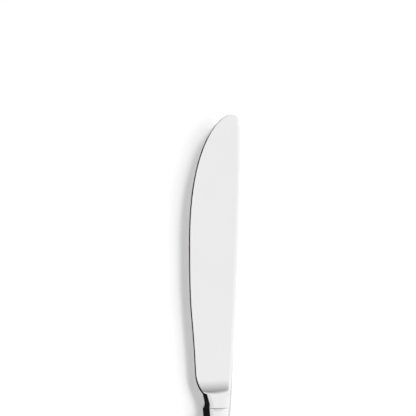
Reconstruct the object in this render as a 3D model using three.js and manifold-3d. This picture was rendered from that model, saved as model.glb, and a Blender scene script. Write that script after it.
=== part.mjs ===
// A fruit knife with a hollow handle, lying on its side as on a table. Millimetres, +Z up.
// +Y runs to the tip, +X to the spine, and the cutting edge faces -X.
// It comes apart into five pieces: the forged blade with its bolster, spigot and tang, two pressed
// handle shells, the brazing metal in the seam between them, and the cement that beds the tang.
import * as THREE from "three";
import { mergeVertices } from "three/addons/utils/BufferGeometryUtils.js";
import Module from "manifold-3d";

const wasm = await Module();
wasm.setup();

// Driving dimensions. A reach or station is a distance from the joint where the bolster meets the
// handle: ahead of it on the blade, behind it on the handle. An "out" is a distance from the axis,
// and a lean is how far an outline spreads for one millimetre along the knife.

// Outline of the cutting edge, from the joint to the tip
const bolsterEdgeOut = 3.9;
const neckOut = 3.72;
const neckStation = 1.3;
const heelCornerOut = 4.45;
const heelCornerStation = 4.4;
const heelOut = 6.57;
const heelStation = 10.5;
const bellyOut = 8.36;
const bellyStation = 50;
const bladeReach = 88.1;
const tipOut = 3.64;
const bolsterLean = -0.2;
const neckLean = 0.6;
const heelCornerLean = 1;
const heelLean = 0.05;

// Outline of the spine, from the joint to the tip
const spineJointOut = 4.22;
const spineTipOut = 7;
const spineLean = 0.046;
const tipCornerLength = 6.1;

// Thickness of the blade and the bolster
const flankThickness = 1.5; // on the axis, at the heel
const flankWedge = 0.04; // rise of each flank for one millimetre towards the spine
const flankTaper = 0.0015; // fall of each flank for one millimetre towards the tip
const bevelWidth = 0.3;
const spineRound = 1;
const tipRound = 0.8;
const bolsterThickness = 5;
const shoulderStation = 4;
const shoulderRadius = 1.57;
const shoulderBlend = 0.5; // height over which the sweep and the bolster round into each other
const sweepStation = 9.2;
const sweepSkew = 0.06; // how far ahead the sweep moves for one millimetre towards the spine
const ovalStation = 3.2; // behind it the bolster's section is a full oval
const squareStation = 4.8; // ahead of it the bar that the blade is ground from is nearly square

// Handle
const handleLength = 84;
const mouthWidth = 8.5;
const mouthThickness = 6.2;
const mouthStepAcross = 0.3; // how far the mouth stands out past the bolster
const mouthStepUp = 0.1;
const lipLength = 1.85; // over it the mouth is drawn down towards the bolster
const lipAngle = 33; // degrees that the lip turns through
const waistWidth = 7.8;
const waistThickness = 6.2;
const waistStation = 8;
const buttWidth = 14;
const buttThickness = 10;
const buttSetback = 14; // widest place of the butt, ahead of the handle's end
const wall = 0.7;
const seamThickness = 0.15;

// Spigot, tang and cement inside the handle
const spigotLength = 3;
const spigotClearance = 0.15;
const tangLength = 44;
const tangRootWidth = 4;
const tangEndWidth = 2.8;
const tangThickness = 2;
const notchRadius = 0.55;
const notchPitch = 9;
const beddingGap = 0.2;
const cementCover = 6; // cement behind the tang's end

// Form of the sections, as a superellipse power: 2 is an ellipse, more is squarer
const handlePower = 2;
const jointPower = 2.1;
const shoulderPower = 2.7;
const barPower = 6;

// Fullness of the curves: the share of its run over which each keeps the direction of its two ends
const hold = {
  bolster: [0.35, 0.3],
  neck: [0.15, 0.2],
  heel: [0.2, 0.41],
  lowerBelly: [0.56, 0.63],
  upperBelly: [0.86, 0.09],
  spine: [0.33, 0.3],
  tipCorner: [0.86, 0.84],
  mouth: [0.3, 0.4],
  handle: [0.4, 0.4],
  butt: [0.6, 0.38],
};

// Facets
const rimSteps = 5; // across the bevel, and across the rounded spine
const flankSteps = 6;
const handleSteps = 21; // over half of the handle's section: odd, so that it lies on a flat facet

const { lerp, clamp, smoothstep, degToRad } = THREE.MathUtils;

// A curve between two places, each given as [out, station], with the lean that it has at each.
function bend(from, to, leans, [leaving, arriving]) {
  const run = to[1] - from[1];
  return new THREE.CubicBezierCurve(
    new THREE.Vector2(...from),
    new THREE.Vector2(from[0] + leans[0] * leaving * run, from[1] + leaving * run),
    new THREE.Vector2(to[0] - leans[1] * arriving * run, to[1] - arriving * run),
    new THREE.Vector2(...to),
  );
}

// A curve that starts along the knife and ends square to it, as round a tip or an end.
function turn(from, to, [leaving, arriving]) {
  return new THREE.CubicBezierCurve(
    new THREE.Vector2(...from),
    new THREE.Vector2(from[0], lerp(from[1], to[1], leaving)),
    new THREE.Vector2(lerp(from[0], to[0], 1 - arriving), to[1]),
    new THREE.Vector2(...to),
  );
}

// The place at one station of an outline that rises along Y, and the direction square to it.
// Side 1 gives the direction to the right of the rising outline, and -1 to the left.
function outlineAt(curves, station, side = 1) {
  const piece = curves.find((curve) => station <= curve.v3.y) ?? curves.at(-1);
  let low = 0;
  let high = 1;
  for (let halving = 0; halving < 40; halving += 1) {
    const middle = (low + high) / 2;
    if (piece.getPoint(middle).y < station) low = middle;
    else high = middle;
  }
  const { v0, v1, v2, v3 } = piece;
  const tangent = new THREE.Vector2()
    .addScaledVector(v1.clone().sub(v0), (1 - high) ** 2)
    .addScaledVector(v2.clone().sub(v1), 2 * (1 - high) * high)
    .addScaledVector(v3.clone().sub(v2), high ** 2)
    .normalize();
  return {
    place: piece.getPoint(high),
    inward: new THREE.Vector2(tangent.y, -tangent.x).multiplyScalar(side),
  };
}

// Even steps between two stations. Ease crowds them towards the second one.
function stations(from, to, steps, ease = (share) => share) {
  return Array.from({ length: steps }, (_, step) => lerp(from, to, ease((step + 1) / steps)));
}

const crowded = (share) => Math.sin((share * Math.PI) / 2);

// A closed skin over rings of points that follow each other along +Y. Each ring runs clockwise as
// seen along +Y, and both ends are closed by a fan about the middle of the end ring.
function loft(rings) {
  const count = rings[0].length;
  const points = rings.flat();
  const triangles = [];
  for (let ring = 0; ring + 1 < rings.length; ring += 1) {
    for (let i = 0; i < count; i += 1) {
      const a = ring * count + i;
      const b = ring * count + ((i + 1) % count);
      triangles.push(a, b, b + count, a, b + count, a + count);
    }
  }
  const last = (rings.length - 1) * count;
  const backMiddle = points.push(middleOf(rings[0])) - 1;
  const frontMiddle = points.push(middleOf(rings.at(-1))) - 1;
  for (let i = 0; i < count; i += 1) {
    const next = (i + 1) % count;
    triangles.push(backMiddle, next, i, frontMiddle, last + i, last + next);
  }
  const skin = new THREE.BufferGeometry().setFromPoints(points);
  return skin.setIndex(triangles);
}

function middleOf(ring) {
  const sum = ring.reduce((total, point) => total.add(point), new THREE.Vector3());
  return sum.divideScalar(ring.length);
}

// A solid to cut and join, from a closed skin. Triangles that close to nothing are left out.
function solidOf(geometry) {
  const skin = geometry.clone();
  skin.deleteAttribute("normal");
  skin.deleteAttribute("uv");
  const merged = mergeVertices(skin, 1e-4);
  const index = merged.index.array;
  const triVerts = [];
  for (let i = 0; i < index.length; i += 3) {
    const [a, b, c] = index.slice(i, i + 3);
    if (a !== b && b !== c && c !== a) triVerts.push(a, b, c);
  }
  const vertProperties = merged.attributes.position.array;
  return new wasm.Manifold(
    new wasm.Mesh({ numProp: 3, vertProperties, triVerts: new Uint32Array(triVerts) }),
  );
}

function geometryOf(solid) {
  const { vertProperties, triVerts } = solid.getMesh();
  const geometry = new THREE.BufferGeometry();
  geometry.setAttribute("position", new THREE.BufferAttribute(vertProperties, 3));
  geometry.setIndex(new THREE.BufferAttribute(triVerts, 1));
  geometry.computeVertexNormals();
  return geometry;
}

// A point of a superellipse section. The share runs from 0 at -X over the top to 1 at +X.
function ovalPoint(share, halfWidth, halfThickness, power) {
  const angle = Math.PI * (1 - share);
  const bulge = (value) => Math.sign(value) * Math.abs(value) ** (2 / power);
  return new THREE.Vector2(halfWidth * bulge(Math.cos(angle)), halfThickness * bulge(Math.sin(angle)));
}

// A whole section ring from the points of its upper half, which start and end on the middle plane.
function closedRing(upper) {
  const lower = upper.slice(1, -1).reverse();
  return [...upper, ...lower.map(({ x, y, z }) => new THREE.Vector3(x, y, -z))];
}

// Cutting edge: from the joint past the neck, round the heel and along the belly to the tip
const joint = [-bolsterEdgeOut, 0];
const neck = [-neckOut, neckStation];
const heelCorner = [-heelCornerOut, heelCornerStation];
const heel = [-heelOut, heelStation];
const belly = [-bellyOut, bellyStation];
const tip = [tipOut, bladeReach];
const edgeCurves = [
  bend(joint, neck, [-bolsterLean, 0], hold.bolster),
  bend(neck, heelCorner, [0, -neckLean], hold.neck),
  bend(heelCorner, heel, [-heelCornerLean, -heelLean], hold.heel),
  bend(heel, belly, [-heelLean, 0], hold.lowerBelly),
  turn(belly, tip, hold.upperBelly),
];

// Spine: one long bow from the joint, then the rounded corner beside the tip
const cornerStation = bladeReach - tipCornerLength;
const spineJoint = [spineJointOut, 0];
const spineCorner = [spineTipOut, cornerStation];
const spineCurves = [
  bend(spineJoint, spineCorner, [spineLean, 0], hold.spine),
  turn(spineCorner, tip, hold.tipCorner),
];

// The flat flank rises from the edge to the spine and falls a little towards the tip.
function flankHeight(x, y) {
  return flankThickness / 2 + flankWedge * x - flankTaper * (y - heelStation);
}

// The ground sweep lifts the flank to the bolster: a hollow arc, then a straight run out over its top.
const bolsterRise = (bolsterThickness - flankThickness) / 2;
const sweepRun = sweepStation - shoulderStation;
const sweepAngle = 2 * Math.atan2(bolsterRise, sweepRun);
const sweepRadius = sweepRun / Math.sin(sweepAngle) - shoulderRadius;
const steepestStation = sweepStation - sweepRadius * Math.sin(sweepAngle);

function sweepHeight(x, y) {
  const station = y - sweepSkew * x;
  const down = Math.max(sweepStation - Math.max(station, steepestStation), 0);
  const straight = Math.max(steepestStation - station, 0) * Math.tan(sweepAngle);
  return sweepRadius - Math.sqrt(sweepRadius ** 2 - down ** 2) + straight;
}

// The lower of two heights, with the shoulder between them rounded
function lowerOf(first, second) {
  const blend = Math.min(shoulderBlend, first, second);
  const overlap = Math.max(blend - Math.abs(first - second), 0);
  const rounding = overlap > 0 ? overlap ** 2 / (4 * blend) : 0;
  return Math.min(first, second) - rounding;
}

// One side of a plate section: from its outline in to the flank, as a flat bevel or a quarter round.
function rim({ place, inward }, width, roundness) {
  const foot = place.clone().addScaledVector(inward, width);
  const top = flankHeight(foot.x, foot.y) + sweepHeight(foot.x, foot.y);
  return Array.from({ length: rimSteps + 1 }, (_, step) => {
    const share = step / rimSteps;
    const angle = (share * Math.PI) / 2;
    const across = lerp(share, 1 - Math.cos(angle), roundness);
    const height = top * lerp(share, Math.sin(angle), roundness);
    const point = place.clone().lerp(foot, across);
    return new THREE.Vector3(point.x, point.y, height);
  });
}

// The blade's section at one station: a bevelled plate, ground out of an oval bar that is as wide as
// the blade and as thick as the bolster. Along the bolster the bar is left whole.
function bladeRing(station) {
  const edge = outlineAt(edgeCurves, station, 1);
  const spine = outlineAt(spineCurves, station, -1);
  const nearTip = smoothstep(station, cornerStation, bladeReach);
  const edgeRim = rim(edge, lerp(bevelWidth, tipRound, nearTip), nearTip);
  const spineRim = rim(spine, lerp(spineRound, tipRound, nearTip), 1).reverse();
  const flank = Array.from({ length: flankSteps - 1 }, (_, step) => {
    const point = edgeRim.at(-1).clone().lerp(spineRim[0], (step + 1) / flankSteps);
    return point.setZ(flankHeight(point.x, point.y) + sweepHeight(point.x, point.y));
  });
  const plate = [...edgeRim, ...flank, ...spineRim];

  const ovalShare = 1 - smoothstep(station, ovalStation, steepestStation);
  const middle = (edge.place.x + spine.place.x) / 2;
  const halfWidth = (spine.place.x - edge.place.x) / 2;
  const halfThickness = bolsterThickness / 2;
  const bolsterPower = lerp(jointPower, shoulderPower, smoothstep(station, 0, shoulderStation));
  const power = lerp(bolsterPower, barPower, smoothstep(station, shoulderStation, squareStation));
  const upper = plate.map((point, i) => {
    const across = Math.min(Math.abs(point.x - middle) / halfWidth, 1);
    const barHeight = halfThickness * (1 - across ** power) ** (1 / power);
    point.setZ(lowerOf(point.z, barHeight));
    const { x, y } = ovalPoint(i / (plate.length - 1), halfWidth, halfThickness, power);
    return point.lerp(new THREE.Vector3(middle + x, station, y), ovalShare);
  });
  return closedRing(upper);
}

// Half-width and half-thickness of the handle along its length, drawn in by an inset
const buttStation = handleLength - buttSetback;

function handleCurves(inset) {
  const curvesFor = (sizes) => {
    const [mouth, waist, butt] = sizes.map((size) => size / 2 - inset);
    const mouthLean = (2 * (waist - mouth)) / waistStation;
    return [
      bend([mouth, 0], [waist, waistStation], [mouthLean, 0], hold.mouth),
      bend([waist, waistStation], [butt, buttStation], [0, 0], hold.handle),
      turn([butt, buttStation], [0, handleLength - inset], hold.butt),
    ];
  };
  return {
    width: curvesFor([mouthWidth, waistWidth, buttWidth]),
    thickness: curvesFor([mouthThickness, waistThickness, buttThickness]),
  };
}

// The handle's oval section at one station. The lip falls towards the bolster at the mouth.
const lipFallAcross = mouthWidth / 2 - bolsterEdgeOut - mouthStepAcross;
const lipFallDown = (mouthThickness - bolsterThickness) / 2 - mouthStepUp;
const lipTurn = degToRad(lipAngle);

function handleRing(curves, station, place) {
  const intoLip = clamp(1 - station / lipLength, 0, 1) * Math.sin(lipTurn);
  const fall = (1 - Math.sqrt(1 - intoLip ** 2)) / (1 - Math.cos(lipTurn));
  const halfWidth = outlineAt(curves.width, station).place.x - fall * lipFallAcross;
  const halfThickness = outlineAt(curves.thickness, station).place.x - fall * lipFallDown;
  const upper = Array.from({ length: handleSteps + 1 }, (_, step) => {
    const { x, y } = ovalPoint(step / handleSteps, halfWidth, halfThickness, handlePower);
    return new THREE.Vector3(x, -place, y);
  });
  return closedRing(upper);
}

// A solid with the handle's form along a list of stations, drawn in by an inset
function handleSolid(inset, list) {
  const curves = handleCurves(inset);
  const rings = list.map((station) => handleRing(curves, Math.max(station, 0), station));
  return solidOf(loft(rings.reverse()));
}

// Stations of the whole handle: the lip, the long body and the rounded butt
const bodyStations = [
  ...stations(lipLength, waistStation, 3),
  ...stations(waistStation, buttStation, 14),
];
const lipStations = stations(lipLength, 0, 5, crowded).reverse();
const frontStations = [...lipStations, lipLength, ...bodyStations];
const pastMouth = -1;
const outerStations = [...frontStations, ...stations(buttStation, handleLength, 10, crowded)];
const cavityStations = [
  pastMouth,
  ...frontStations,
  ...stations(buttStation, handleLength - wall, 8, crowded),
];

// The hollow handle is pressed in two halves. Brazing metal fills the seam on the middle plane.
const hollowHandle = handleSolid(0, outerStations).subtract(handleSolid(wall, cavityStations));

function slab(low, high) {
  const box = new THREE.BoxGeometry(2 * buttWidth, 4 * handleLength, high - low);
  return solidOf(box.translate(0, 0, (low + high) / 2));
}

const aboveHandle = buttThickness;
const upperShell = hollowHandle.intersect(slab(seamThickness / 2, aboveHandle));
const lowerShell = hollowHandle.intersect(slab(-aboveHandle, -seamThickness / 2));
const seam = hollowHandle.intersect(slab(-seamThickness / 2, seamThickness / 2));

// Plan of the tang, tapering to its end, with round notches that the cement keys into. A clearance
// grows it for the pocket in the cement.
const notchCount = Math.floor((tangLength - spigotLength) / notchPitch);
const notchStations = Array.from({ length: notchCount }, (_, i) => tangLength - notchPitch * (i + 0.5));

function tangSolid(root, clearance) {
  const end = -tangLength - clearance;
  const halfWidthAt = (y) => lerp(tangRootWidth, tangEndWidth, -y / tangLength) / 2 + clearance;
  const radius = notchRadius - clearance;
  const plan = new THREE.Shape();
  plan.moveTo(-halfWidthAt(end), end);
  plan.lineTo(halfWidthAt(end), end);
  for (const station of notchStations) {
    plan.absarc(halfWidthAt(-station), -station, radius, -Math.PI / 2, Math.PI / 2, true);
  }
  plan.lineTo(halfWidthAt(root), root);
  plan.lineTo(-halfWidthAt(root), root);
  for (const station of notchStations.toReversed()) {
    plan.absarc(-halfWidthAt(-station), -station, radius, Math.PI / 2, -Math.PI / 2, true);
  }
  const depth = tangThickness + 2 * clearance;
  const bar = new THREE.ExtrudeGeometry(plan, { depth, bevelEnabled: false, curveSegments: 6 });
  return solidOf(bar.translate(0, 0, -depth / 2));
}

// The forging: blade and bolster in one loft, then the spigot that fills the handle's mouth, and
// the tang behind it
const bladeStations = [
  0,
  ...stations(0, shoulderStation, 8),
  ...stations(shoulderStation, steepestStation, 5),
  ...stations(steepestStation, sweepStation, 9),
  ...stations(sweepStation, bellyStation, 8),
  ...stations(bellyStation, cornerStation, 12),
  ...stations(cornerStation, bladeReach, 5, crowded),
];
const rooted = 0.2; // how far the spigot and the tang run into what carries them
const mouthCurves = handleCurves(wall + spigotClearance);
const spigotRings = [-spigotLength, rooted].map((y) => handleRing(mouthCurves, 0, -y));
const forging = solidOf(loft(bladeStations.map(bladeRing)))
  .add(solidOf(loft(spigotRings)))
  .add(tangSolid(rooted - spigotLength, 0));

// The cement fills the front of the handle behind the spigot, and holds the tang.
const cementStart = spigotLength + beddingGap;
const cementEnd = tangLength + cementCover;
const cementStations = [
  cementStart,
  ...bodyStations.filter((station) => station > cementStart && station < cementEnd),
  cementEnd,
];
const cement = handleSolid(wall + beddingGap, cementStations).subtract(tangSolid(0, beddingGap));

// Finishes
const polishedSteel = new THREE.MeshStandardMaterial({ color: 0xe6e6e6, roughness: 0.12, metalness: 1 });
const mirrorSteel = new THREE.MeshStandardMaterial({ color: 0xe8e8e8, roughness: 0.06, metalness: 1 });
const silverBraze = new THREE.MeshStandardMaterial({ color: 0xd9d5c8, roughness: 0.25, metalness: 1 });
const setCement = new THREE.MeshStandardMaterial({ color: 0x9b968c, roughness: 0.9, metalness: 0 });

function piece(name, solid, material) {
  const mesh = new THREE.Mesh(geometryOf(solid), material);
  mesh.name = name;
  return mesh;
}

const knife = new THREE.Group();
knife.add(
  piece("blade", forging, polishedSteel),
  piece("upper_handle_shell", upperShell, mirrorSteel),
  piece("lower_handle_shell", lowerShell, mirrorSteel),
  piece("seam_braze", seam, silverBraze),
  piece("tang_cement", cement, setCement),
);

// The knife lies flat, with the middle of its bounding box over the origin.
const box = new THREE.Box3().setFromObject(knife);
const middle = box.getCenter(new THREE.Vector3());
knife.position.set(-middle.x, -middle.y, -box.min.z);

const fruitKnife = new THREE.Group();
fruitKnife.add(knife);

export default fruitKnife;
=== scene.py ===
# Fruit knife with a hollow handle, dressed over its CAD frame.
# Sizes are in millimetres, from the knife's own axes: x across from the handle's axis to the spine,
# y along from the joint where the bolster meets the handle, z up from the middle plane.
import math

import bpy
from mathutils import Euler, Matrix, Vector


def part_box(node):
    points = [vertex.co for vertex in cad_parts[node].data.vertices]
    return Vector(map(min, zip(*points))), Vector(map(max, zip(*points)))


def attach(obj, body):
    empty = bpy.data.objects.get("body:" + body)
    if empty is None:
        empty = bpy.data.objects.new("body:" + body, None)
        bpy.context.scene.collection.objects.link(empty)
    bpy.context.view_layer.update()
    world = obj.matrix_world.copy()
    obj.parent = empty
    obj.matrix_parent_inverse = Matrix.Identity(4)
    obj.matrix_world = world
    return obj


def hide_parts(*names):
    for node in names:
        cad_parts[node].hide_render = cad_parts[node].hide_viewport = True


mm = 0.001
tiny = 1e-7  # metres: corners closer than this are one corner
touching = 1e-3  # millimetres: places closer than this are one place
hairInside = 1e-3  # millimetres by which the butt's finer facets stay inside the solids

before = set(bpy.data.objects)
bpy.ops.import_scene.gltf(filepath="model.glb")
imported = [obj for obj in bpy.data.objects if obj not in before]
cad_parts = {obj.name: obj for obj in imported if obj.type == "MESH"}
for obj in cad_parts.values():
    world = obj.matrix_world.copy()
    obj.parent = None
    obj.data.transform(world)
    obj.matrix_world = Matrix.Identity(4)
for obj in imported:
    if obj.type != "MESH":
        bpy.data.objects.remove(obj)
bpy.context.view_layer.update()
bpy.ops.object.select_all(action="DESELECT")

# where the knife's own axes lie in the frame
bladeLow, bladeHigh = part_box("blade")
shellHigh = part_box("upper_handle_shell")[1]
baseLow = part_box("lower_handle_shell")[0]
seamLow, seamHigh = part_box("seam_braze")
knifeOrigin = Vector(((seamLow.x + seamHigh.x) / 2, seamHigh.y, (shellHigh.z + baseLow.z) / 2))
bladeReach = (bladeHigh.y - knifeOrigin.y) / mm
bellyOut = (knifeOrigin.x - bladeLow.x) / mm
spineTipOut = (bladeHigh.x - knifeOrigin.x) / mm
handleLength = (knifeOrigin.y - seamLow.y) / mm
buttHalfWidth = (seamHigh.x - seamLow.x) / mm / 2 - hairInside
buttHalfThickness = (shellHigh.z - baseLow.z) / mm / 2 - hairInside
print("frame loaded")


def mix(start, end, share):
    return start + (end - start) * share


def easeStep(value, low, high):
    share = min(max((value - low) / (high - low), 0), 1)
    return share * share * (3 - 2 * share)


# steps from one station to another, without the first; crowded ones gather at the far end
def stationsTo(start, end, steps, crowded=False):
    shares = [(step + 1) / steps for step in range(steps)]
    if crowded:
        shares = [math.sin(share * math.pi / 2) for share in shares]
    return [mix(start, end, share) for share in shares]


# curve between two (out, station) places, with its lean at each end and how long it keeps it
def bend(start, end, leans, holds):
    run = end[1] - start[1]
    leaving = (start[0] + leans[0] * holds[0] * run, start[1] + holds[0] * run)
    arriving = (end[0] - leans[1] * holds[1] * run, end[1] - holds[1] * run)
    return [Vector(place) for place in (start, leaving, arriving, end)]


# curve that leaves along the knife and arrives square to it, as round a tip or a butt
def turn(start, end, holds):
    leaving = (start[0], mix(start[1], end[1], holds[0]))
    arriving = (mix(start[0], end[0], 1 - holds[1]), end[1])
    return [Vector(place) for place in (start, leaving, arriving, end)]


# place and direction at one station of a chain of such curves, found by halving
def outlineAt(curves, station, halvings=40):
    a, b, c, d = next((curve for curve in curves if station <= curve[3].y), curves[-1])
    low, high = (0, 1) if station < d.y - touching else (1, 1)  # the far end is taken exactly
    for halving in range(halvings):
        share = (low + high) / 2
        rest = 1 - share
        reached = rest**3 * a.y + 3 * rest**2 * share * b.y + 3 * rest * share**2 * c.y + share**3 * d.y
        if reached < station:
            low = share
        else:
            high = share
    share, rest = high, 1 - high
    place = rest**3 * a + 3 * rest**2 * share * b + 3 * rest * share**2 * c + share**3 * d
    along = rest**2 * (b - a) + 2 * rest * share * (c - b) + share**2 * (d - c)
    return place, along.normalized()


def startEditing(piece):
    bpy.ops.object.select_all(action="DESELECT")
    piece.select_set(True)
    bpy.context.view_layer.objects.active = piece
    bpy.ops.object.mode_set(mode="EDIT")
    bpy.ops.mesh.select_all(action="SELECT")


# selects the corners, edges and faces whose corners all pass a test of their place in millimetres
def selectWhere(piece, test):
    bpy.ops.mesh.select_all(action="DESELECT")
    bpy.ops.object.mode_set(mode="OBJECT")
    for corner in piece.data.vertices:
        corner.select = test(corner.co / mm)
    for part in list(piece.data.edges) + list(piece.data.polygons):
        part.select = all(piece.data.vertices[index].select for index in part.vertices)
    bpy.ops.object.mode_set(mode="EDIT")


def copyOf(piece, name):
    twin = piece.copy()
    twin.data = piece.data.copy()
    twin.name = twin.data.name = name
    bpy.context.collection.objects.link(twin)
    return twin


# moves a finished piece from the knife's own axes into the frame, shades it smooth by angle, and hides the
# CAD part that it stands for
def setInFrame(piece, node, smoothBelow=30):
    bpy.ops.object.mode_set(mode="OBJECT")
    bpy.ops.object.select_all(action="DESELECT")
    piece.select_set(True)
    bpy.context.view_layer.objects.active = piece
    piece.location = knifeOrigin
    bpy.ops.object.transform_apply(location=True, rotation=True, scale=True)
    bpy.ops.object.shade_smooth_by_angle(angle=math.radians(smoothBelow))
    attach(piece, "root")
    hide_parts(node)
    print(piece.name, len(piece.data.polygons), "faces")


# Blade, bolster, spigot and tang: one forging
forging = {
    "bolsterEdgeOut": 3.9,
    "neck": (3.72, 1.3),  # out, station
    "heelCorner": (4.45, 4.4),
    "heel": (6.57, 10.5),
    "bellyStation": 50,
    "tipOut": 3.64,
    "spineJointOut": 4.22,
    "tipCornerLength": 6.1,
    "leans": {"bolster": -0.2, "neck": 0.6, "heelCorner": 1, "heel": 0.05, "spine": 0.046},
    # how long each curve of the outline keeps its direction, from its start and to its end
    "edgeHolds": ((0.35, 0.3), (0.15, 0.2), (0.2, 0.41), (0.56, 0.63), (0.86, 0.09)),
    "spineHolds": ((0.33, 0.3), (0.86, 0.84)),
    "flankThickness": 1.5,
    "flankWedge": 0.04,  # how much the flank rises for a millimetre towards the spine
    "flankTaper": 0.0015,  # and falls for a millimetre towards the tip
    "bevelWidth": 0.34,  # from the heel on, and round the tip
    "heelBevelWidth": 0.6,
    "spineRound": 1.4,
    "bolsterThickness": 5,
    "jointGap": 0.09,  # hairline left between the bolster and the mouth of the handle
    "shoulderStation": 4,
    "shoulderRadius": 1.57,
    "shoulderBlend": 0.5,  # height over which the sweep and the bolster round into each other
    "sweepStation": 9.2,
    "sweepSkew": 0.06,  # how far ahead the sweep moves for a millimetre towards the spine
    "ovalStation": 3.2,
    "barPowers": (2.1, 2.7, 6),  # at the joint, where the bar is nearly an ellipse, the shoulder and past it
    # stations between which the bar squares up, on the side of the edge and on the side of the spine
    "squaring": ((4, 4.8), (3.2, 7)),
    "evenStation": 15,  # from here to the corner of the tip the sections stand further apart
    "flankSteps": 30,
    "rimSteps": 14,  # on both sides, so that the rims meet corner to corner at the tip
    "tipSteps": 44,
}
leans = forging["leans"]
jointEdge = (-forging["bolsterEdgeOut"], 0)
edgePlaces = [forging[place] for place in ("neck", "heelCorner", "heel")]
neck, heelCorner, heel = [(-out, station) for out, station in edgePlaces]
belly = (-bellyOut, forging["bellyStation"])
tip = (forging["tipOut"], bladeReach)
edgeCurves = [
    bend(jointEdge, neck, (-leans["bolster"], 0), forging["edgeHolds"][0]),
    bend(neck, heelCorner, (0, -leans["neck"]), forging["edgeHolds"][1]),
    bend(heelCorner, heel, (-leans["heelCorner"], -leans["heel"]), forging["edgeHolds"][2]),
    bend(heel, belly, (-leans["heel"], 0), forging["edgeHolds"][3]),
    turn(belly, tip, forging["edgeHolds"][4]),
]
cornerStation = bladeReach - forging["tipCornerLength"]
spineCorner = (spineTipOut, cornerStation)
spineCurves = [
    bend((forging["spineJointOut"], 0), spineCorner, (leans["spine"], 0), forging["spineHolds"][0]),
    turn(spineCorner, tip, forging["spineHolds"][1]),
]

# the ground sweep up to the bolster: a hollow arc, then a straight run out through its top
bolsterHalfThickness = forging["bolsterThickness"] / 2
bolsterRise = bolsterHalfThickness - forging["flankThickness"] / 2
sweepRun = forging["sweepStation"] - forging["shoulderStation"]
sweepAngle = 2 * math.atan2(bolsterRise, sweepRun)
sweepRadius = sweepRun / math.sin(sweepAngle) - forging["shoulderRadius"]
steepestStation = forging["sweepStation"] - sweepRadius * math.sin(sweepAngle)


def sweepHeight(x, y):
    station = y - forging["sweepSkew"] * x
    down = max(forging["sweepStation"] - max(station, steepestStation), 0)
    straight = max(steepestStation - station, 0) * math.tan(sweepAngle)
    return sweepRadius - math.sqrt(sweepRadius**2 - down**2) + straight


def flankHeight(x, y):
    taper = forging["flankTaper"] * (y - forging["heel"][1])
    return forging["flankThickness"] / 2 + forging["flankWedge"] * x - taper + sweepHeight(x, y)


# one side of the section, from the outline in to the flank: a flat bevel, or a quarter round
def rim(place, inward, width, roundness):
    foot = place + inward * width
    top = flankHeight(foot.x, foot.y)
    points = []
    for step in range(forging["rimSteps"] + 1):
        share = step / forging["rimSteps"]
        angle = share * math.pi / 2
        spot = place.lerp(foot, mix(share, 1 - math.cos(angle), roundness))
        points.append(Vector((spot.x, spot.y, top * mix(share, math.sin(angle), roundness))))
    return points


def ovalPoint(share, halfWidth, halfThickness, power):
    angle = math.pi * (1 - share)
    across = math.copysign(abs(math.cos(angle)) ** (2 / power), math.cos(angle))
    return halfWidth * across, halfThickness * abs(math.sin(angle)) ** (2 / power)


# the lower of two heights, with the corner between them rounded
def softMin(first, second, blend):
    blend = min(blend, first, second)
    overlap = max(blend - abs(first - second), 0)
    return min(first, second) - (overlap**2 / blend / 4 if overlap else 0)


# upper half of the section at a station, from the cutting edge to the spine: the blade's plate ground
# out of an oval bar as wide as the blade and as thick as the bolster
def bladeSection(station):
    edge, edgeAlong = outlineAt(edgeCurves, station)
    spine, spineAlong = outlineAt(spineCurves, station)
    nearTip = easeStep(station, cornerStation, bladeReach)
    pastHeel = easeStep(station, forging["heelCorner"][1], forging["heel"][1])
    bevelWidth = mix(forging["heelBevelWidth"], forging["bevelWidth"], pastHeel)
    spineWidth = mix(forging["spineRound"], forging["bevelWidth"], nearTip)
    edgeInward = Vector((edgeAlong.y, -edgeAlong.x))
    spineInward = Vector((-spineAlong.y, spineAlong.x))
    edgeRim = rim(edge, edgeInward, bevelWidth, 0)
    spineRim = rim(spine, spineInward, spineWidth, 1 - nearTip)[::-1]
    plate = edgeRim[:]
    for step in range(1, forging["flankSteps"]):
        spot = edgeRim[-1].lerp(spineRim[0], step / forging["flankSteps"])
        spot.z = flankHeight(spot.x, spot.y)
        plate.append(spot)
    plate += spineRim
    ovalShare = 1 - easeStep(station, forging["ovalStation"], steepestStation)
    jointPower, shoulderPower, bladePower = forging["barPowers"]
    power = mix(jointPower, shoulderPower, easeStep(station, 0, forging["shoulderStation"]))
    squared = [easeStep(station, *reach) for reach in forging["squaring"]]
    edgePower, spinePower = [mix(power, bladePower, share) for share in squared]
    middle, halfWidth = (edge.x + spine.x) / 2, max((spine.x - edge.x) / 2, touching)
    # the plate is cut down to the bar, and takes the bar's own oval towards the joint
    for index, spot in enumerate(plate):
        across = min(abs(spot.x - middle) / halfWidth, 1)
        power = spinePower if spot.x > middle else edgePower
        barHeight = bolsterHalfThickness * (1 - across**power) ** (1 / power)
        spot.z = softMin(spot.z, barHeight, forging["shoulderBlend"])
        share = index / (len(plate) - 1)
        power = spinePower if share > 0.5 else edgePower
        x, z = ovalPoint(share, halfWidth, bolsterHalfThickness, power)
        plate[index] = spot.lerp(Vector((middle + x, station, z)), ovalShare)
    return plate


# where each run of sections ends, and its number of steps
bladeRuns = [
    (forging["shoulderStation"], 26),
    (steepestStation, 14),
    (forging["sweepStation"], 34),
    (forging["evenStation"], 14),
    (cornerStation, 60),
]
bladeStations = [forging["jointGap"]]
for runEnd, steps in bladeRuns:
    bladeStations += stationsTo(bladeStations[-1], runEnd, steps)
bladeStations += stationsTo(cornerStation, bladeReach, forging["tipSteps"], crowded=True)

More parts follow.
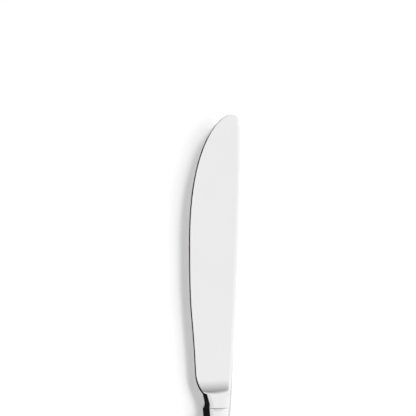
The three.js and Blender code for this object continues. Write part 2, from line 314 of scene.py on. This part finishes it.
# a grid laid over the upper side, then mirrored down to the lower one
columns = forging["flankSteps"] + 2 * forging["rimSteps"]
rows = len(bladeStations) - 1
bpy.ops.mesh.primitive_grid_add(x_subdivisions=columns, y_subdivisions=rows, size=2)
blade = bpy.context.active_object
blade.name = blade.data.name = "bladeForging"
bladeSections = [bladeSection(station) for station in bladeStations]
for corner in blade.data.vertices:
    row = round((corner.co.y + 1) / 2 * rows)
    column = round((corner.co.x + 1) / 2 * columns)
    corner.co = bladeSections[row][column] * mm
bpy.ops.object.modifier_add(type="MIRROR")
mirror = blade.modifiers[-1]
mirror.use_axis = (False, False, True)
mirror.merge_threshold = tiny
bpy.ops.object.modifier_apply(modifier=mirror.name)

# behind the blade: the flat back of the bolster, the spigot drawn out of it, and the tang
shank = {
    "spigotHalfWidth": 3.35,
    "spigotHalfThickness": 1.75,
    "spigotLength": 3,
    "length": 44,
    "rootWidth": 4,
    "endWidth": 2.8,
    "thickness": 2,
    "notchRadius": 0.55,
    "notchPitch": 9,
    "notchSteps": 8,
    "notchReach": 0.9999,  # share of the radius at which a notch's sections begin and end
    "rooted": 0.2,  # how far the tang starts inside the spigot
}
startEditing(blade)
bpy.ops.mesh.remove_doubles(threshold=tiny)
bpy.ops.mesh.normals_make_consistent(inside=False)
selectWhere(blade, lambda place: abs(place.y - forging["jointGap"]) < touching)
bpy.ops.mesh.edge_face_add()
bolsterHalfWidth = (forging["spineJointOut"] + forging["bolsterEdgeOut"]) / 2
bolsterMiddle = (forging["spineJointOut"] - forging["bolsterEdgeOut"]) / 2
bpy.ops.mesh.extrude_region_move(TRANSFORM_OT_translate={"value": (-bolsterMiddle * mm, 0, 0)})
narrower = shank["spigotHalfWidth"] / bolsterHalfWidth
thinner = shank["spigotHalfThickness"] / bolsterHalfThickness
bpy.ops.transform.resize(value=(narrower, 1, thinner), center_override=(0, 0, 0))
spigotRun = forging["jointGap"] + shank["spigotLength"]
bpy.ops.mesh.extrude_region_move(TRANSFORM_OT_translate={"value": (0, -spigotRun * mm, 0)})
bpy.ops.object.mode_set(mode="OBJECT")


# width of the tang, tapering back, with a round notch every so often for the cement to key into
def tangWidth(station):
    width = mix(shank["rootWidth"], shank["endWidth"], station / shank["length"])
    fromNotch = (shank["length"] - station) % shank["notchPitch"] - shank["notchPitch"] / 2
    bite = math.sqrt(max(shank["notchRadius"] ** 2 - fromNotch**2, 0))
    return width - 2 * bite


tangStations = [shank["length"]]
notchReach = shank["notchRadius"] * shank["notchReach"]
notch = shank["length"] - shank["notchPitch"] / 2
while notch > shank["spigotLength"] + shank["notchPitch"] / 2:
    for step in range(shank["notchSteps"] + 1):
        tangStations.append(notch + notchReach * math.cos(math.pi * step / shank["notchSteps"]))
    notch -= shank["notchPitch"]
tangStations.append(shank["spigotLength"] - shank["rooted"])

bpy.ops.mesh.primitive_plane_add(size=1, rotation=(math.pi / 2, 0, 0))
tang = bpy.context.active_object
bpy.ops.object.transform_apply(location=True, rotation=True, scale=True)
startEditing(tang)
station, width = tangStations[0], tangWidth(tangStations[0])
bpy.ops.transform.resize(value=(width * mm, 1, shank["thickness"] * mm))
bpy.ops.transform.translate(value=(0, -station * mm, 0))
for nextStation in tangStations[1:]:
    nextWidth = tangWidth(nextStation)
    bpy.ops.mesh.extrude_region_move(TRANSFORM_OT_translate={"value": (0, (station - nextStation) * mm, 0)})
    bpy.ops.transform.resize(value=(nextWidth / width, 1, 1), center_override=(0, -nextStation * mm, 0))
    station, width = nextStation, nextWidth
bpy.ops.mesh.select_all(action="SELECT")
bpy.ops.mesh.normals_make_consistent(inside=False)
bpy.ops.object.mode_set(mode="OBJECT")

bpy.ops.object.select_all(action="DESELECT")
bpy.context.view_layer.objects.active = blade
bpy.ops.object.modifier_add(type="BOOLEAN")
union = blade.modifiers[-1]
union.operation = "UNION"
union.object = tang
union.solver = "EXACT"
bpy.ops.object.modifier_apply(modifier=union.name)
bpy.data.objects.remove(tang)
setInFrame(blade, "blade")

# Hollow handle: two pressed shells, and the brazing metal in the seam between them
shell = {
    "mouthWidth": 8.5,
    "mouthThickness": 6.2,
    "mouthStep": (0.3, 0.2),  # how far the mouth stands out past the bolster: across, up
    "lipLength": 1.85,
    "lipTurn": 33,  # degrees that the lip turns through
    "waistWidth": 7.8,
    "waistThickness": 6.2,
    "waistStation": 8,
    "buttSetback": 14,
    # how long each curve of the outline keeps its direction, from its start and to its end
    "holds": ((0.3, 0.4), (0.4, 0.4), (0.6, 0.38)),
    "wall": 0.7,
    "seamThickness": 0.15,
    "sides": 128,
    "lipSteps": 18,
    "waistSteps": 14,
    "bodySteps": 30,
    "buttSteps": 36,
    "cavitySteps": 24,
}
buttStation = handleLength - shell["buttSetback"]
lipFallAcross = shell["mouthWidth"] / 2 - forging["bolsterEdgeOut"] - shell["mouthStep"][0]
lipFallDown = (shell["mouthThickness"] - forging["bolsterThickness"]) / 2 - shell["mouthStep"][1]
lipAngle = math.radians(shell["lipTurn"])


# half the handle's outline, from the mouth over the waist to the butt
def handleCurves(mouth, waist, butt, inset):
    lean = 2 * (waist - mouth) / shell["waistStation"]
    start, narrowest = (mouth - inset, 0), (waist - inset, shell["waistStation"])
    widest, end = (butt - inset, buttStation), (0, handleLength - inset)
    return [
        bend(start, narrowest, (lean, 0), shell["holds"][0]),
        bend(narrowest, widest, (0, 0), shell["holds"][1]),
        turn(widest, end, shell["holds"][2]),
    ]


# (station, half-width, half-thickness) along the handle, with the lip drawn down to the bolster
def handleSections(stations, inset):
    widths = handleCurves(shell["mouthWidth"] / 2, shell["waistWidth"] / 2, buttHalfWidth, inset)
    depths = handleCurves(shell["mouthThickness"] / 2, shell["waistThickness"] / 2, buttHalfThickness, inset)
    sections = []
    for station in stations:
        intoLip = max(1 - station / shell["lipLength"], 0) * math.sin(lipAngle)
        fall = (1 - math.sqrt(1 - intoLip**2)) / (1 - math.cos(lipAngle))
        across = outlineAt(widths, station)[0].x - fall * lipFallAcross
        down = outlineAt(depths, station)[0].x - fall * lipFallDown
        sections.append((station, across, down))
    return sections


lipLength, waistStation = shell["lipLength"], shell["waistStation"]
frontStations = stationsTo(lipLength, 0, shell["lipSteps"], crowded=True)[::-1] + [lipLength]
frontStations += stationsTo(lipLength, waistStation, shell["waistSteps"])
frontStations += stationsTo(waistStation, buttStation, shell["bodySteps"])
buttStations = stationsTo(buttStation, handleLength, shell["buttSteps"], crowded=True)[:-1]
cavityLength = handleLength - shell["wall"]
cavityStations = stationsTo(buttStation, cavityLength, shell["cavitySteps"], crowded=True)[:-1]

# one ring drawn forward along the inside of the wall, over the mouth and back along the outside
ringPath = handleSections(frontStations + cavityStations, shell["wall"])[::-1]
ringPath += handleSections(frontStations + buttStations, 0)
bpy.ops.mesh.primitive_circle_add(vertices=shell["sides"], radius=1, rotation=(math.pi / 2, 0, 0))
handle = bpy.context.active_object
bpy.ops.object.transform_apply(location=True, rotation=True, scale=True)
startEditing(handle)
station, across, down = ringPath[0]
bpy.ops.transform.resize(value=(across * mm, 1, down * mm))
bpy.ops.transform.translate(value=(0, -station * mm, 0))
for nextStation, nextAcross, nextDown in ringPath[1:]:
    bpy.ops.mesh.extrude_region_move(TRANSFORM_OT_translate={"value": (0, (station - nextStation) * mm, 0)})
    centre = (0, -nextStation * mm, 0)
    bpy.ops.transform.resize(value=(nextAcross / across, 1, nextDown / down), center_override=centre)
    station, across, down = nextStation, nextAcross, nextDown

# the butt is closed with its middle at the very end, and the cavity with a flat end
bpy.ops.mesh.edge_face_add()
bpy.ops.mesh.poke()
buttCentre = Vector((0, -station, 0))
selectWhere(handle, lambda place: (place - buttCentre).length < touching)
bpy.ops.transform.translate(value=(0, (station - handleLength) * mm, 0))
cavityEnd, cavityEndOut = -ringPath[0][0], ringPath[0][1] + touching
selectWhere(handle, lambda place: abs(place.y - cavityEnd) < touching and abs(place.x) < cavityEndOut)
bpy.ops.mesh.edge_face_add()
bpy.ops.mesh.poke()
bpy.ops.mesh.select_all(action="SELECT")
bpy.ops.mesh.normals_make_consistent(inside=False)
bpy.ops.object.mode_set(mode="OBJECT")


# cuts a piece on a level plane, closes the cut and drops what lies above or below it
def cutLevel(piece, height, dropAbove):
    startEditing(piece)
    bpy.ops.mesh.bisect(
        plane_co=(0, 0, height * mm),
        plane_no=(0, 0, 1),
        use_fill=True,
        clear_inner=not dropAbove,
        clear_outer=dropAbove,
        threshold=tiny,
    )
    bpy.ops.object.mode_set(mode="OBJECT")


halfSeam = shell["seamThickness"] / 2
upperShell = copyOf(handle, "upperShell")
cutLevel(upperShell, halfSeam, dropAbove=False)
lowerShell = copyOf(handle, "lowerShell")
cutLevel(lowerShell, -halfSeam, dropAbove=True)
seamBraze = copyOf(handle, "seamBraze")
cutLevel(seamBraze, halfSeam, dropAbove=True)
cutLevel(seamBraze, -halfSeam, dropAbove=False)
bpy.data.objects.remove(handle)
setInFrame(upperShell, "upper_handle_shell")
setInFrame(lowerShell, "lower_handle_shell")
setInFrame(seamBraze, "seam_braze")

# Materials


def colour(hexCode):
    parts = [int(hexCode[at : at + 2], 16) / 255 for at in (1, 3, 5)]
    linear = [part / 12.92 if part <= 0.04045 else ((part + 0.055) / 1.055) ** 2.4 for part in parts]
    return (*linear, 1)


# adds a node; settings are its own properties or its sockets' values, links are what feeds its sockets
def addNode(tree, kind, settings=None, links=None):
    node = tree.nodes.new(kind)
    for name, value in (settings or {}).items():
        if isinstance(name, int) or name in node.inputs:
            node.inputs[name].default_value = value
        else:
            setattr(node, name, value)
    for name, source in (links or {}).items():
        tree.links.new(source, node.inputs[name])
    return node


def newMaterial(name):
    material = bpy.data.materials.new(name)
    material.use_nodes = True
    material.node_tree.nodes.clear()
    return material, material.node_tree


# Stainless steel, buffed along the knife: a bright mirror with a faint haze and hair-fine lines
# Real buffing lines are too fine to show, so these are drawn wider
bladeFinish = {
    "name": "buffed blade stainless",
    "dark": "#e9e9e9",
    "light": "#eeeeee",
    "roughness": (0.05, 0.1),
    "lineWidth": 0.35,
    "lineLength": 14,
    "lineDepth": 0.02,
    "hazeSize": 18,
    # black scale behind the bolster, which is also the painted shade down the hairline at the joint
    "scaleAndGapShadeColour": "#262422",
    "scaleRoughness": 0.7,
    "scaleAndGapShadeSetback": 0.01,  # how far behind the back of the bolster the dark scale begins; the scale also paints the shade seen down the hairline at the joint
}
handleFinish = {
    "name": "mirror polished handle stainless",
    "dark": "#eaeaea",
    "light": "#eeeeee",
    "roughness": (0.025, 0.06),
    "lineWidth": 0.5,
    "lineLength": 10,
    "lineDepth": 0.02,
    "hazeSize": 18,
}


# behind a place along the knife, where given, the steel keeps the dull black scale of the forge; this black
# also paints the shade seen down the hairline at the joint
def polishedStainless(finish, scaleAndGapShadeBehind=None):
    material, tree = newMaterial(finish["name"])
    coords = addNode(tree, "ShaderNodeTexCoord")
    across, lengthways = 1 / (finish["lineWidth"] * mm), 1 / (finish["lineLength"] * mm)
    lines = addNode(
        tree,
        "ShaderNodeMapping",
        {"Scale": (across, lengthways, across)},
        {"Vector": coords.outputs["Object"]},
    )
    buffing = addNode(
        tree,
        "ShaderNodeTexNoise",
        {"Scale": 1, "Detail": 4, "Roughness": 0.6},
        {"Vector": lines.outputs["Vector"]},
    )
    haze = addNode(
        tree,
        "ShaderNodeTexNoise",
        {"Scale": 1 / (finish["hazeSize"] * mm), "Detail": 2},
        {"Vector": coords.outputs["Object"]},
    )
    tone = addNode(
        tree,
        "ShaderNodeMix",
        {"data_type": "RGBA", 6: colour(finish["dark"]), 7: colour(finish["light"])},
        {0: haze.outputs["Fac"]},
    )
    smooth, rough = finish["roughness"]
    gloss = addNode(
        tree,
        "ShaderNodeMapRange",
        {"From Min": 0.3, "From Max": 0.7, "To Min": smooth, "To Max": rough},
        {"Value": buffing.outputs["Fac"]},
    )
    ripple = addNode(
        tree,
        "ShaderNodeBump",
        {"Strength": 0.03, "Distance": finish["lineDepth"] * mm},
        {"Height": buffing.outputs["Fac"]},
    )
    steel = addNode(
        tree,
        "ShaderNodeBsdfPrincipled",
        {"Metallic": 1},
        {
            "Base Color": tone.outputs[2],
            "Roughness": gloss.outputs["Result"],
            "Normal": ripple.outputs["Normal"],
        },
    )
    surface = steel.outputs["BSDF"]
    if scaleAndGapShadeBehind is not None:
        place = addNode(tree, "ShaderNodeSeparateXYZ", links={"Vector": coords.outputs["Object"]})
        behind = addNode(
            tree,
            "ShaderNodeMath",
            {"operation": "LESS_THAN", 1: scaleAndGapShadeBehind},
            {0: place.outputs["Y"]},
        )
        # painted shade: the black scale seen down the hairline at the joint stands in for the shade inside
        # that gap
        scaleAndGapShade = addNode(
            tree,
            "ShaderNodeBsdfPrincipled",
            {"Base Color": colour(finish["scaleAndGapShadeColour"]), "Roughness": finish["scaleRoughness"]},
        )
        both = addNode(
            tree,
            "ShaderNodeMixShader",
            links={0: behind.outputs[0], 1: surface, 2: scaleAndGapShade.outputs["BSDF"]},
        )
        surface = both.outputs["Shader"]
    addNode(tree, "ShaderNodeOutputMaterial", links={"Surface": surface})
    return material


# Silver brazing metal, ground flush and buffed: a shade warmer and softer than the steel beside it
brazeFinish = {"dark": "#cfcabb", "light": "#dfdcd0", "roughness": (0.16, 0.32), "pitSize": 0.4}


def buffedBraze(finish):
    material, tree = newMaterial("buffed silver braze")
    coords = addNode(tree, "ShaderNodeTexCoord")
    pits = addNode(
        tree,
        "ShaderNodeTexNoise",
        {"Scale": 1 / (finish["pitSize"] * mm), "Detail": 3},
        {"Vector": coords.outputs["Object"]},
    )
    tone = addNode(
        tree,
        "ShaderNodeMix",
        {"data_type": "RGBA", 6: colour(finish["dark"]), 7: colour(finish["light"])},
        {0: pits.outputs["Fac"]},
    )
    smooth, rough = finish["roughness"]
    gloss = addNode(
        tree,
        "ShaderNodeMapRange",
        {"To Min": smooth, "To Max": rough},
        {"Value": pits.outputs["Fac"]},
    )
    metal = addNode(
        tree,
        "ShaderNodeBsdfPrincipled",
        {"Metallic": 1},
        {"Base Color": tone.outputs[2], "Roughness": gloss.outputs["Result"]},
    )
    addNode(tree, "ShaderNodeOutputMaterial", links={"Surface": metal.outputs["BSDF"]})
    return material


# Set cement, poured round the tang: a dull grey paste with pale and dark clouds and fine grit
cementFinish = {
    "dark": "#8b867c",
    "light": "#aaa59b",
    "roughness": 0.9,
    "cloudSize": 3,
    "gritSize": 0.5,
    "gritDepth": 0.1,
}


def setCement(finish):
    material, tree = newMaterial("poured bedding cement")
    coords = addNode(tree, "ShaderNodeTexCoord")
    grains = addNode(
        tree,
        "ShaderNodeTexVoronoi",
        {"Scale": 1 / (finish["gritSize"] * mm)},
        {"Vector": coords.outputs["Object"]},
    )
    clouds = addNode(
        tree,
        "ShaderNodeTexNoise",
        {"Scale": 1 / (finish["cloudSize"] * mm), "Detail": 5},
        {"Vector": coords.outputs["Object"]},
    )
    tone = addNode(
        tree,
        "ShaderNodeMix",
        {"data_type": "RGBA", 6: colour(finish["dark"]), 7: colour(finish["light"])},
        {0: clouds.outputs["Fac"]},
    )
    grit = addNode(
        tree,
        "ShaderNodeBump",
        {"Strength": 0.5, "Distance": finish["gritDepth"] * mm},
        {"Height": grains.outputs["Distance"]},
    )
    paste = addNode(
        tree,
        "ShaderNodeBsdfPrincipled",
        {"Roughness": finish["roughness"]},
        {"Base Color": tone.outputs[2], "Normal": grit.outputs["Normal"]},
    )
    addNode(tree, "ShaderNodeOutputMaterial", links={"Surface": paste.outputs["BSDF"]})
    return material


# the black scale starts just behind the hairline at the joint, where it paints the shade of the gap
scaleAndGapShadeStart = knifeOrigin.y + (forging["jointGap"] - bladeFinish["scaleAndGapShadeSetback"]) * mm
blade.data.materials.append(polishedStainless(bladeFinish, scaleAndGapShadeStart))
handleSteel = polishedStainless(handleFinish)
upperShell.data.materials.append(handleSteel)
lowerShell.data.materials.append(handleSteel)
seamBraze.data.materials.append(buffedBraze(brazeFinish))
cementPaste = setCement(cementFinish)
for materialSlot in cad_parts["tang_cement"].material_slots:
    materialSlot.material = cementPaste
print("materials made")

# Studio: a white table in white surroundings, soft lamps on the right and above, and cards that the
# polished steel reflects
studio = {
    "tableColour": "#fafafa",
    "tableSize": 4,  # metres
    "tableFall": 1.6,  # degrees
    "ambient": 0.02,
    # share of the light on the table, then degrees: spread, lean from upright, turn from the spine to the tip
    "lamps": {
        "keyLamp": (0.3, 12, 26, 45),
        "sideLamp": (0.26, 31, 33, 7),
        "topLamp": (0.435, 4, 0, 0),
    },
}


def whiteWorld():
    world = bpy.data.worlds.new("white studio")
    bpy.context.scene.world = world
    world.use_nodes = True
    tree = world.node_tree
    tree.nodes.clear()
    path = addNode(tree, "ShaderNodeLightPath")
    seen = path.outputs["Is Camera Ray"]
    for ray in ("Is Glossy Ray", "Is Transmission Ray"):
        either = addNode(
            tree,
            "ShaderNodeMath",
            {"operation": "MAXIMUM"},
            {0: seen, 1: path.outputs[ray]},
        )
        seen = either.outputs[0]
    dim = addNode(tree, "ShaderNodeBackground", {"Strength": studio["ambient"]})
    white = addNode(tree, "ShaderNodeBackground", {"Color": colour("#ffffff"), "Strength": 1})
    both = addNode(
        tree,
        "ShaderNodeMixShader",
        links={0: seen, 1: dim.outputs["Background"], 2: white.outputs["Background"]},
    )
    addNode(tree, "ShaderNodeOutputWorld", links={"Surface": both.outputs["Shader"]})


def softLamp(name, share, spread, tilt, turned):
    bpy.ops.object.light_add(type="SUN", rotation=(0, math.radians(tilt), math.radians(turned)))
    lamp = bpy.context.active_object
    lamp.name = name
    lamp.data.angle = math.radians(spread)
    lamp.data.energy = share * math.pi / colour(studio["tableColour"])[0] / math.cos(math.radians(tilt))
    lamp.visible_glossy = False


# the table touches the butt and falls away a little under the blade, whose shadow widens to the tip
def table():
    lean = Euler((-math.radians(studio["tableFall"]), 0, 0))
    up = Vector((0, 0, 1))
    up.rotate(lean)
    low = min(corner.co.dot(up) for corner in lowerShell.data.vertices)
    bpy.ops.mesh.primitive_plane_add(size=studio["tableSize"], location=up * low, rotation=lean)
    top = bpy.context.active_object
    top.name = "table"
    material, tree = newMaterial("matt white table")
    paint = addNode(tree, "ShaderNodeBsdfDiffuse", {"Color": colour(studio["tableColour"])})
    addNode(tree, "ShaderNodeOutputMaterial", links={"Surface": paint.outputs["BSDF"]})
    top.data.materials.append(material)
    return lean, up * low


# a card that only reflections see; levels run up its height, and a fade to white runs along its width
def card(name, location, rotation, size, levels, fade=((0, 0), (1, 0))):
    bpy.ops.mesh.primitive_plane_add(size=1, location=location, rotation=rotation)
    sheet = bpy.context.active_object
    sheet.name = name
    sheet.scale = (*size, 1)
    material, tree = newMaterial(name + " paper")
    coords = addNode(tree, "ShaderNodeTexCoord")
    place = addNode(tree, "ShaderNodeSeparateXYZ", links={"Vector": coords.outputs["Generated"]})
    ramps = []
    for axis, stops in (("Y", levels), ("X", fade)):
        ramp = addNode(tree, "ShaderNodeValToRGB", links={"Fac": place.outputs[axis]})
        while len(ramp.color_ramp.elements) < len(stops):
            ramp.color_ramp.elements.new(0.5)  # moved to its own position below
        for element, (position, level) in zip(ramp.color_ramp.elements, stops):
            element.position = position
            element.color = (level, level, level, 1)
        ramps.append(ramp.outputs["Color"])
    tone = addNode(
        tree,
        "ShaderNodeMix",
        {"data_type": "RGBA", 7: colour("#ffffff")},
        {0: ramps[1], 6: ramps[0]},
    )
    glow = addNode(tree, "ShaderNodeEmission", links={"Color": tone.outputs[2]})
    addNode(tree, "ShaderNodeOutputMaterial", links={"Surface": glow.outputs["Emission"]})
    sheet.data.materials.append(material)
    sheet.visible_camera = False
    sheet.visible_diffuse = False
    sheet.visible_shadow = False
    sheet.visible_transmission = False
    sheet.visible_volume_scatter = False


# share of a card's height that a ray from the joint meets, so many degrees from upright
def heightShare(sheet, degrees):
    below = sheet.get("below", 0)
    height = abs(sheet["distance"]) / math.tan(math.radians(degrees))
    return min(max((height + below) / (sheet["height"] + below), 0), 1)


# share of a card's length at a place along it
def lengthShare(sheet, place):
    return (place - sheet["from"]) / (sheet["to"] - sheet["from"])


# an upright card: beside the knife and along it, or past one of its ends and across it
def standingCard(name, sheet, beside):
    upright = math.pi / 2
    below = sheet.get("below", 0)
    middle = (sheet["from"] + sheet["to"]) / 2
    across, ahead = (sheet["distance"], middle) if beside else (middle, sheet["distance"])
    card(
        name,
        Vector((across, ahead, (sheet["height"] - below) / 2)) * mm + knifeOrigin,
        (upright, 0, upright if beside else 0),
        Vector((sheet["to"] - sheet["from"], sheet["height"] + below)) * mm,
        [(heightShare(sheet, degrees), level) for degrees, level in sheet["levels"]],
        [(lengthShare(sheet, place), level) for place, level in sheet["fade"]],
    )


whiteWorld()
for name, settings in studio["lamps"].items():
    softLamp(name, *settings)
tableLean, tablePlace = table()

# levels go by degrees from upright, and the fade by the place along the card
tipFade = (87, 96.5)  # stations at the tip between which the sheets beside the blade fade out
leftCard = {
    "distance": -60,
    "height": 230,
    "below": 15,
    "from": -250,
    "to": 100,
    "levels": [(90, 0.01), (46.24, 0.01), (45.76, 0.8), (14.62, 1)],
    "fade": [(tipFade[0], 0), (tipFade[1], 1)],
}
standingCard("leftCard", leftCard, beside=True)

# sheets on the table on both sides, dark on the left and pale on the right, with levels by station
flange = {
    "width": 60,
    "from": -250,
    "to": 160,
    "lift": 0.02,
    "leftLevels": [(tipFade[0], 0.01), (tipFade[1], 0.9)],
    "rightLevels": [(forging["shoulderStation"], 0.85), (10, 1.12), (tipFade[0], 1.12), (tipFade[1], 0.9)],
}
for name, side, levels in (
    ("leftFlange", -1, flange["leftLevels"]),
    ("rightFlange", 1, flange["rightLevels"]),
):
    middle = (flange["from"] + flange["to"]) / 2
    onTable = Vector((side * flange["width"] / 2, middle, flange["lift"])) * mm
    onTable.rotate(tableLean)
    card(
        name,
        tablePlace + onTable,
        tableLean,
        Vector((flange["width"], flange["to"] - flange["from"])) * mm,
        [(lengthShare(flange, station), level) for station, level in levels],
    )

farCard = {
    "distance": 300,
    "height": 1400,
    "from": -600,
    "to": 600,
    "levels": [(74, 0.17), (68, 0.2), (57, 0.36), (46, 0.545), (35.6, 0.7), (25.4, 0.845), (12.5, 1)],
    "fade": [(-168, 0), (0, 0.3), (144, 0.42), (432, 0.78), (600, 0.95)],
}
standingCard("farCard", farCard, beside=False)
rightCard = {
    "distance": 150,
    "height": 560,
    "from": -80,
    "to": 110,
    "levels": [(80, 1.13), (60, 1.1), (45, 1.07), (30, 1.04), (16, 1)],
    "fade": [(-80, 1), (-23, 0)],
}
standingCard("rightCard", rightCard, beside=True)
nearCard = {
    "distance": -380,
    "height": 300,
    "from": -900,
    "to": 900,
    "levels": [(90, 0.4), (80, 0.5), (72, 0.7), (64, 0.92), (58, 1)],
    "fade": [(-900, 1), (-450, 0), (720, 0), (900, 1)],
}
standingCard("nearCard", nearCard, beside=False)
print("studio set")

# Camera: straight down on the blade, at the photograph's scale
view = {
    "pixel": 0.3,
    "pixels": 416,
    "centre": (-2.67, 60),
    "level": 0.7,  # height at which a pixel has its size
    "lens": 200,
    "sensor": 36,
    "farthest": 10,  # metres
}
distance = view["pixel"] * view["pixels"] * view["lens"] / view["sensor"]
cameraPlace = knifeOrigin + Vector((*view["centre"], view["level"] + distance)) * mm
bpy.ops.object.camera_add(location=cameraPlace, rotation=(0, 0, 0))
camera = bpy.context.active_object
camera.data.lens = view["lens"]
camera.data.sensor_width = view["sensor"]
camera.data.clip_end = view["farthest"]
bpy.context.scene.camera = camera
bpy.context.scene.view_settings.view_transform = "Standard"
